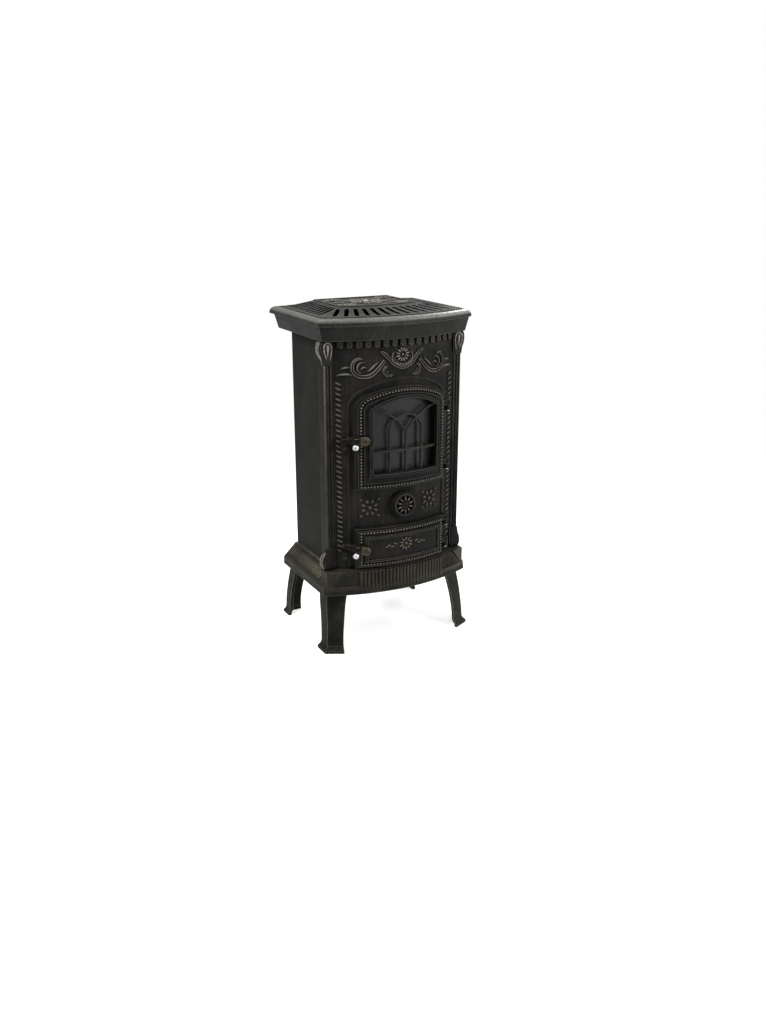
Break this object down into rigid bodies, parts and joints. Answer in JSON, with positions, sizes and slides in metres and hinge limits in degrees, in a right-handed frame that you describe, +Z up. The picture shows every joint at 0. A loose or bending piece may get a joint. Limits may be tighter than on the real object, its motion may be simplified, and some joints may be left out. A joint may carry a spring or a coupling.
{
  "type": "cast-iron wood stove",
  "caption": "Small cast-iron wood stove on four splayed legs, with a bowed front, an arched window door, an ash door, latches with round knobs, a turning air disc and a pierced top.",
  "frame": {"origin": "on the floor, under the middle of the stove's overall width and depth", "axes": "+Z up, -Y towards the front with the doors, +Y towards the flue, +X to the right for someone facing the doors"},
  "size_m": [0.384, 0.3403, 0.777],
  "materials": {
    "cast_iron": "matte",
    "worn_iron": "satin",
    "steel": "satin",
    "nickel": "polished",
    "firebrick": "matte",
    "rope": "matte",
    "glass": "clear"
  },
  "bodies": {
    "stove": {"base_plate": "cast_iron", "leg_front_left": "cast_iron", "leg_front_right": "cast_iron", "leg_back_left": "cast_iron", "leg_back_right": "cast_iron", "leg_bolts": "steel", "front_panel": "cast_iron", "side_panel_left": "cast_iron", "side_panel_right": "cast_iron", "back_panel": "cast_iron", "tie_rods": "steel", "tie_rod_nuts": "steel", "top_frame": "cast_iron", "hotplate": "cast_iron", "flue_collar": "cast_iron", "flue_collar_bolts": "steel", "flue_collar_gasket": "rope", "grate_frame": "cast_iron", "fire_grate": "cast_iron", "log_guard": "cast_iron", "firebrick_left": "firebrick", "firebrick_right": "firebrick", "firebrick_back": "firebrick", "baffle_plate": "cast_iron", "fire_hinge_pins": "steel", "ash_hinge_pins": "steel", "latch_keepers": "worn_iron", "keeper_screws": "steel", "spinner_bolt": "steel", "spinner_nut": "steel"},
    "fire_door_leaf": {"fire_door": "cast_iron", "window_glass": "glass", "window_gasket": "rope", "glass_clips": "steel", "glass_clip_screws": "steel", "fire_door_rope": "rope", "fire_latch_bolt": "steel"},
    "fire_latch_arm": {"fire_latch": "worn_iron", "fire_latch_knob": "nickel"},
    "ash_door_leaf": {"ash_door": "cast_iron", "ash_door_rope": "rope", "ash_latch_bolt": "steel"},
    "ash_latch_arm": {"ash_latch": "worn_iron", "ash_latch_knob": "nickel"},
    "air_disc": {"air_spinner": "worn_iron"},
    "cover": {"top_cover": "worn_iron"},
    "cooking_lid": {"hotplate_lid": "cast_iron"},
    "ash_drawer": {"ash_pan": "steel", "ash_pan_handle": "steel"}
  },
  "joints": [
    {"name": "fire_door_swing", "type": "hinge", "parent": "stove", "child": "fire_door_leaf", "pos_m": [0.129, -0.11865, 0.502], "axis": [0, 0, 1], "range_deg": [0, 110]},
    {"name": "ash_door_swing", "type": "hinge", "parent": "stove", "child": "ash_door_leaf", "pos_m": [0.129, -0.11865, 0.247], "axis": [0, 0, 1], "range_deg": [0, 110]},
    {"name": "fire_latch_turn", "type": "hinge", "parent": "fire_door_leaf", "child": "fire_latch_arm", "pos_m": [-0.09081, -0.12193, 0.502], "axis": [0.2874, 0.9578, 0], "range_deg": [-7, 30]},
    {"name": "ash_latch_turn", "type": "hinge", "parent": "ash_door_leaf", "child": "ash_latch_arm", "pos_m": [-0.09081, -0.12193, 0.247], "axis": [0.2874, 0.9578, 0], "range_deg": [-19, 18]},
    {"name": "air_disc_turn", "type": "hinge", "parent": "stove", "child": "air_disc", "pos_m": [0, -0.14526, 0.343], "axis": [0, -1, 0], "range_deg": [0, 36]},
    {"name": "cover_lift", "type": "slide", "parent": "stove", "child": "cover", "axis": [0, 0, 1], "range_m": [0, 0.3]},
    {"name": "lid_lift", "type": "slide", "parent": "stove", "child": "cooking_lid", "axis": [0, 0, 1], "range_m": [0, 0.15]},
    {"name": "ash_drawer_slide", "type": "slide", "parent": "stove", "child": "ash_drawer", "axis": [0, -1, 0], "range_m": [0, 0.125]}
  ],
  "couplings": [
    {"joint": "lid_lift", "follows": "cover_lift", "ratio": 0.5},
    {"joint": "ash_drawer_slide", "follows": "ash_door_swing", "m_per_rad": 0.065}
  ]
}
